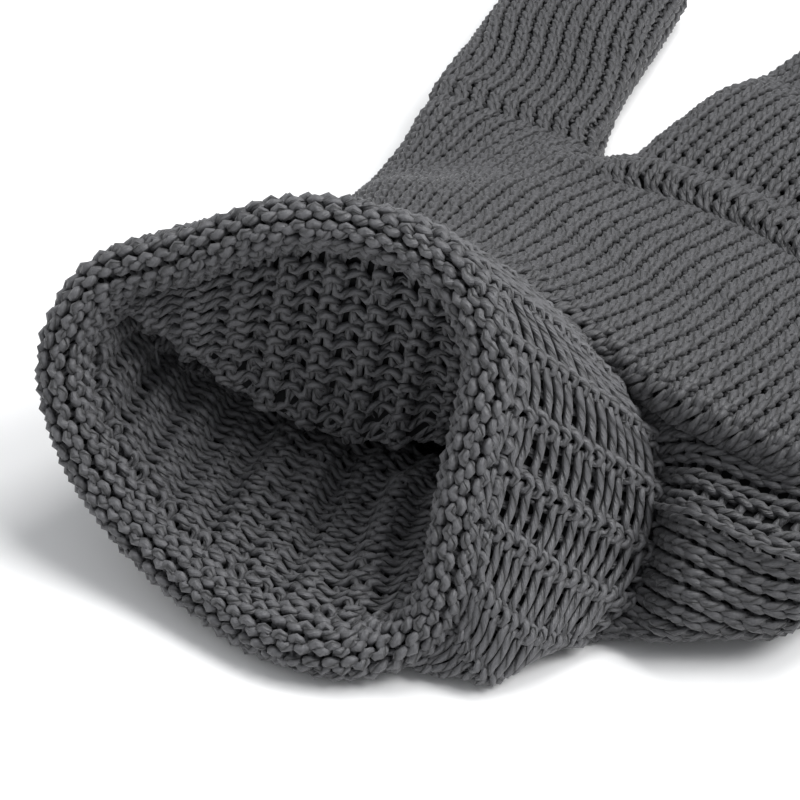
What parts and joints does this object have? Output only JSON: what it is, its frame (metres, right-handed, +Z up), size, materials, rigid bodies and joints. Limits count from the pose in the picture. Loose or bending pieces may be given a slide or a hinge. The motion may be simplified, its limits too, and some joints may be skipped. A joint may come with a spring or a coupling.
{
  "type": "knitted cut-resistant glove",
  "caption": "Heavy charcoal knitted cut-resistant work glove lying palm up, its ribbed cuff turned back, with bending fingers, thumb and wrist.",
  "frame": {"origin": "middle of the bounding box, on the surface that the glove lies on", "axes": "+Y from the wrist towards the fingertips, +Z up out of the palm, thumb on -X"},
  "size_m": [0.1526, 0.2571, 0.0558],
  "materials": {
    "knit_palm": "charcoal plied yarn, plain knit",
    "knit_fingers": "charcoal plied yarn, plain knit",
    "knit_cuff": "charcoal plied yarn, mock rib, wrong side out",
    "overlock_yarn": "charcoal overlock stitching",
    "elastic_yarn": "covered elastic yarn"
  },
  "bodies": {
    "hand": {"lower_palm": "knit_palm", "upper_palm": "knit_palm", "index_root": "knit_fingers", "middle_root": "knit_fingers", "ring_root": "knit_fingers", "little_root": "knit_fingers"},
    "cuff": {"cuff_turnback_band": "knit_cuff", "cuff_fold_roll": "knit_cuff", "cuff_inner_tube": "knit_cuff", "cuff_elastic_yarns": "elastic_yarn", "cuff_overlock_edge": "overlock_yarn"},
    "index_proximal": {"index_proximal": "knit_fingers"},
    "index_medial": {"index_medial": "knit_fingers"},
    "index_tip": {"index_tip": "knit_fingers"},
    "middle_proximal": {"middle_proximal": "knit_fingers"},
    "middle_medial": {"middle_medial": "knit_fingers"},
    "middle_tip": {"middle_tip": "knit_fingers"},
    "ring_proximal": {"ring_proximal": "knit_fingers"},
    "ring_medial": {"ring_medial": "knit_fingers"},
    "ring_tip": {"ring_tip": "knit_fingers"},
    "little_proximal": {"little_proximal": "knit_fingers"},
    "little_medial": {"little_medial": "knit_fingers"},
    "little_tip": {"little_tip": "knit_fingers"},
    "thumb_base": {"thumb_base": "knit_fingers"},
    "thumb_tip": {"thumb_tip": "knit_fingers"}
  },
  "joints": [
    {"name": "wrist_bend", "type": "hinge", "parent": "hand", "child": "cuff", "pos_m": [0.01475, -0.05888, 0.047], "axis": [-0.9613, 0.2756, 0], "range_deg": [0, 35]},
    {"name": "index_base_bend", "type": "hinge", "parent": "hand", "child": "index_proximal", "pos_m": [-0.00193, 0.05855, 0.0126], "axis": [1, 0, 0], "range_deg": [0, 90]},
    {"name": "index_middle_bend", "type": "hinge", "parent": "index_proximal", "child": "index_medial", "pos_m": [-0.00193, 0.08455, 0.0126], "axis": [1, 0, 0], "range_deg": [0, 95]},
    {"name": "index_end_bend", "type": "hinge", "parent": "index_medial", "child": "index_tip", "pos_m": [-0.00193, 0.10455, 0.0126], "axis": [1, 0, 0], "range_deg": [0, 60]},
    {"name": "middle_base_bend", "type": "hinge", "parent": "hand", "child": "middle_proximal", "pos_m": [0.01957, 0.05955, 0.0126], "axis": [1, 0, 0], "range_deg": [0, 90]},
    {"name": "middle_middle_bend", "type": "hinge", "parent": "middle_proximal", "child": "middle_medial", "pos_m": [0.01957, 0.08755, 0.0126], "axis": [1, 0, 0], "range_deg": [0, 95]},
    {"name": "middle_end_bend", "type": "hinge", "parent": "middle_medial", "child": "middle_tip", "pos_m": [0.01957, 0.10955, 0.0126], "axis": [1, 0, 0], "range_deg": [0, 60]},
    {"name": "ring_base_bend", "type": "hinge", "parent": "hand", "child": "ring_proximal", "pos_m": [0.04107, 0.05855, 0.0126], "axis": [1, 0, 0], "range_deg": [0, 90]},
    {"name": "ring_middle_bend", "type": "hinge", "parent": "ring_proximal", "child": "ring_medial", "pos_m": [0.04107, 0.08455, 0.0126], "axis": [1, 0, 0], "range_deg": [0, 95]},
    {"name": "ring_end_bend", "type": "hinge", "parent": "ring_medial", "child": "ring_tip", "pos_m": [0.04107, 0.10455, 0.0126], "axis": [1, 0, 0], "range_deg": [0, 60]},
    {"name": "little_base_bend", "type": "hinge", "parent": "hand", "child": "little_proximal", "pos_m": [0.06257, 0.05555, 0.0126], "axis": [1, 0, 0], "range_deg": [0, 90]},
    {"name": "little_middle_bend", "type": "hinge", "parent": "little_proximal", "child": "little_medial", "pos_m": [0.06257, 0.07555, 0.0126], "axis": [1, 0, 0], "range_deg": [0, 95]},
    {"name": "little_end_bend", "type": "hinge", "parent": "little_medial", "child": "little_tip", "pos_m": [0.06257, 0.09255, 0.0126], "axis": [1, 0, 0], "range_deg": [0, 60]},
    {"name": "thumb_base_bend", "type": "hinge", "parent": "hand", "child": "thumb_base", "pos_m": [-0.04071, 0.00928, 0.0131], "axis": [0.9563, 0.2924, 0], "range_deg": [0, 50]},
    {"name": "thumb_end_bend", "type": "hinge", "parent": "thumb_base", "child": "thumb_tip", "pos_m": [-0.05094, 0.04275, 0.0131], "axis": [0.9563, 0.2924, 0], "range_deg": [0, 70]}
  ]
}
